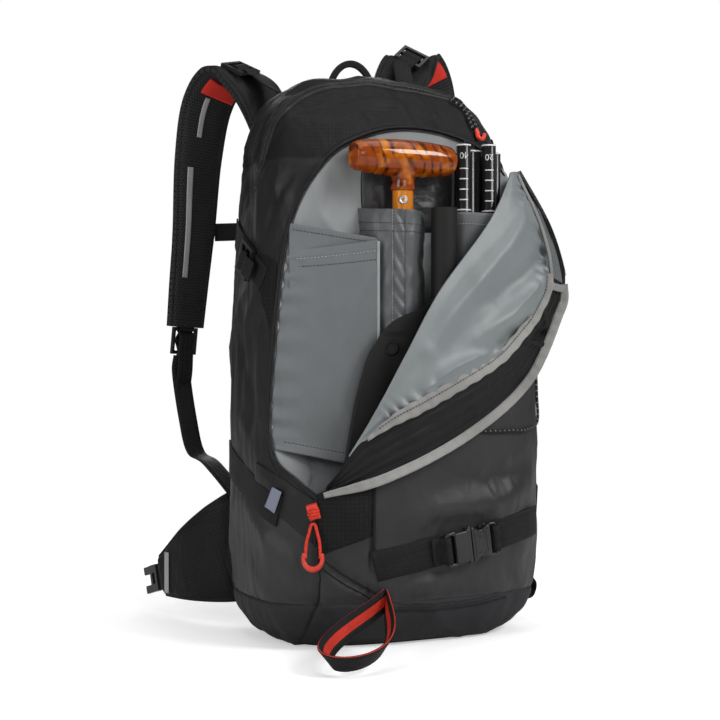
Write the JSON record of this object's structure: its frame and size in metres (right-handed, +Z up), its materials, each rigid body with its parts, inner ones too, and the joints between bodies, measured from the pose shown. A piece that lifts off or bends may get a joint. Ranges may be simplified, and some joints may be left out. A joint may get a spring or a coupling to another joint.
{
  "type": "ski backpack",
  "caption": "Soft ski touring backpack with an open front tool compartment, folded-back zip flap, stowed shovel and probe, padded harness and hip belt.",
  "frame": {"origin": "centre of the flat base, on the floor", "axes": "+Z up, -Y the front with the tool compartment, +Y the back panel and harness, +X the right as seen from the front"},
  "size_m": [0.3716, 0.4331, 0.6393],
  "materials": {
    "ripstop_black": "woven ripstop, matt",
    "coated_charcoal": "coated plain weave, satin",
    "lining_grey": "coated lining cloth, satin",
    "spacer_mesh": "padded mesh, matt",
    "webbing_black": "woven webbing, matt",
    "buckle_plastic": "moulded, satin",
    "zip_black": "coil zip",
    "pull_red": "cord and moulded end",
    "amber_plastic": "clear amber moulding",
    "orange_alloy": "anodised orange",
    "steel": "bright",
    "blade_grey": "dark anodised, satin",
    "probe_black": "black anodised with white marks",
    "pouch_grey": "thin glossy cloth",
    "sheet_plastic": "translucent sheet"
  },
  "bodies": {
    "pack": {"back_pad": "spacer_mesh", "back_panel": "spacer_mesh", "base_panel": "coated_charcoal", "blade_sleeve": "lining_grey", "compartment_zip": "zip_black", "divider_wall": "lining_grey", "frame_sheet": "sheet_plastic", "front_panel": "coated_charcoal", "front_plug": "buckle_plastic", "front_socket": "buckle_plastic", "front_strap_left": "webbing_black", "front_strap_right": "webbing_black", "handle_sleeve": "lining_grey", "left_side_panel": "ripstop_black", "load_lifter_left": "webbing_black", "load_lifter_right": "webbing_black", "lower_strap_left": "webbing_black", "lower_strap_right": "webbing_black", "lumbar_pad": "spacer_mesh", "main_zip": "zip_black", "probe_sleeve": "lining_grey", "right_side_panel": "ripstop_black", "shovel_blade": "blade_grey", "side_cord": "webbing_black", "strap_webbing_left": "webbing_black", "strap_webbing_right": "webbing_black", "stuff_sack": "pouch_grey", "top_panel": "ripstop_black", "upper_strap_left": "webbing_black", "upper_strap_right": "webbing_black"},
    "flap": {"flap_panel": "lining_grey", "flap_gusset": "ripstop_black"},
    "zip_slider": {"zip_slider": "pull_red"},
    "zip_pull": {"zip_pull": "pull_red"},
    "shovel": {"shovel_grip": "amber_plastic", "shovel_shaft": "orange_alloy"},
    "button": {"shaft_button": "steel"},
    "probe": {"probe": "probe_black"},
    "harness": {"shoulder_strap_left": "spacer_mesh", "shoulder_strap_right": "spacer_mesh", "sternum_strap_left": "webbing_black", "sternum_strap_right": "webbing_black", "sternum_socket": "buckle_plastic"},
    "sternum_plug": {"sternum_plug": "buckle_plastic"},
    "lifter_buckle_left": {"lifter_buckle_left": "buckle_plastic"},
    "lifter_buckle_right": {"lifter_buckle_right": "buckle_plastic"},
    "adjuster_buckle_left": {"adjuster_buckle_left": "buckle_plastic"},
    "adjuster_buckle_right": {"adjuster_buckle_right": "buckle_plastic"},
    "hip_left": {"hip_wing_left": "ripstop_black", "hip_plug": "buckle_plastic"},
    "hip_right": {"hip_wing_right": "ripstop_black", "hip_socket": "buckle_plastic"},
    "handle": {"grab_handle": "webbing_black"},
    "front_arm_upper": {"front_arm_upper": "buckle_plastic"},
    "front_arm_lower": {"front_arm_lower": "buckle_plastic"},
    "upper_buckle_left": {"upper_buckle_left": "buckle_plastic"},
    "upper_buckle_right": {"upper_buckle_right": "buckle_plastic"},
    "ski_loop": {"ski_loop": "webbing_black"},
    "tool_loop": {"tool_loop": "webbing_black"}
  },
  "joints": [
    {"name": "flap_fold", "type": "hinge", "parent": "pack", "child": "flap", "pos_m": [-0.01297, -0.11972, 0.32368], "axis": [-0.5728, -0.0735, -0.8164], "range_deg": [0, 130]},
    {"name": "zip_slide", "type": "slide", "parent": "pack", "child": "zip_slider", "axis": [-0.6886, 0.3788, 0.6184], "range_m": [0, 0.02]},
    {"name": "zip_pull_swing", "type": "hinge", "parent": "zip_slider", "child": "zip_pull", "pos_m": [-0.12061, -0.09096, 0.12415], "axis": [-0.8491, 0.5283, 0], "range_deg": [-10, 80]},
    {"name": "shovel_lift", "type": "slide", "parent": "pack", "child": "shovel", "axis": [0, 0, 1], "range_m": [0, 0.25]},
    {"name": "button_press", "type": "slide", "parent": "shovel", "child": "button", "axis": [0, 1, 0], "range_m": [0, 0.0012], "stiffness_N_per_m": 600, "springref_m": -0.0008},
    {"name": "probe_lift", "type": "slide", "parent": "pack", "child": "probe", "axis": [0, 0, 1], "range_m": [0, 0.3]},
    {"name": "harness_swing", "type": "hinge", "parent": "pack", "child": "harness", "pos_m": [0, 0.1032, 0.455], "axis": [1, 0, 0], "range_deg": [-20, 13], "deforming": ["load_lifter_left", "load_lifter_right", "strap_webbing_left", "strap_webbing_right"]},
    {"name": "sternum_release", "type": "slide", "parent": "harness", "child": "sternum_plug", "axis": [0.9962, -0.0618, 0.0613], "range_m": [0, 0.016], "deforming": ["sternum_strap_right"]},
    {"name": "lifter_tilt_left", "type": "hinge", "parent": "harness", "child": "lifter_buckle_left", "pos_m": [-0.10248, 0.17221, 0.60052], "axis": [0.8507, 0.4766, 0.2218], "range_deg": [-25, 2], "deforming": ["load_lifter_left"]},
    {"name": "lifter_tilt_right", "type": "hinge", "parent": "harness", "child": "lifter_buckle_right", "pos_m": [0.12143, 0.15577, 0.63025], "axis": [0.7026, -0.5358, -0.4682], "range_deg": [-25, 8], "deforming": ["load_lifter_right"]},
    {"name": "adjuster_tilt_left", "type": "hinge", "parent": "harness", "child": "adjuster_buckle_left", "pos_m": [-0.13604, 0.22505, 0.3114], "axis": [0.9593, 0.2799, -0.0361], "range_deg": [-12, 12], "deforming": ["strap_webbing_left"]},
    {"name": "adjuster_tilt_right", "type": "hinge", "parent": "harness", "child": "adjuster_buckle_right", "pos_m": [0.1399, 0.22514, 0.31143], "axis": [0.9482, -0.2318, -0.2173], "range_deg": [-12, 12], "deforming": ["strap_webbing_right"]},
    {"name": "hip_fold_left", "type": "hinge", "parent": "pack", "child": "hip_left", "pos_m": [-0.112, 0.102, 0.08], "axis": [0, 0, 1], "range_deg": [0, 40]},
    {"name": "hip_fold_right", "type": "hinge", "parent": "pack", "child": "hip_right", "pos_m": [0.112, 0.102, 0.08], "axis": [0, 0, -1], "range_deg": [0, 40]},
    {"name": "handle_swing", "type": "hinge", "parent": "pack", "child": "handle", "pos_m": [0, 0.07746, 0.552], "axis": [1, 0, 0], "range_deg": [-60, 18]},
    {"name": "arm_squeeze_upper", "type": "hinge", "parent": "pack", "child": "front_arm_upper", "pos_m": [0.03464, -0.11017, 0.10588], "axis": [-0.0493, 0.9964, 0.0694], "range_deg": [0, 8], "stiffness_Nm_per_rad": 0.4, "springref_deg": -5.73},
    {"name": "arm_squeeze_lower", "type": "hinge", "parent": "pack", "child": "front_arm_lower", "pos_m": [0.03771, -0.10878, 0.0882], "axis": [0.0493, -0.9964, -0.0694], "range_deg": [0, 8], "stiffness_Nm_per_rad": 0.4, "springref_deg": -5.73},
    {"name": "upper_tilt_left", "type": "hinge", "parent": "pack", "child": "upper_buckle_left", "pos_m": [-0.1498, 0.02104, 0.38128], "axis": [-0.0646, 0.4935, -0.8673], "range_deg": [0, 30]},
    {"name": "upper_tilt_right", "type": "hinge", "parent": "pack", "child": "upper_buckle_right", "pos_m": [0.1498, 0.02104, 0.38128], "axis": [-0.0646, -0.4935, 0.8673], "range_deg": [0, 30]},
    {"name": "ski_loop_swing", "type": "hinge", "parent": "pack", "child": "ski_loop", "pos_m": [-0.05, -0.10371, 0.052], "axis": [-0.8988, 0.4384, 0], "range_deg": [0, 38]},
    {"name": "tool_loop_swing", "type": "hinge", "parent": "pack", "child": "tool_loop", "pos_m": [0.14903, -0.004, 0.052], "axis": [0, -1, 0], "range_deg": [-20, 60]}
  ],
  "couplings": [
    {"joint": "arm_squeeze_lower", "follows": "arm_squeeze_upper", "ratio": 1}
  ]
}
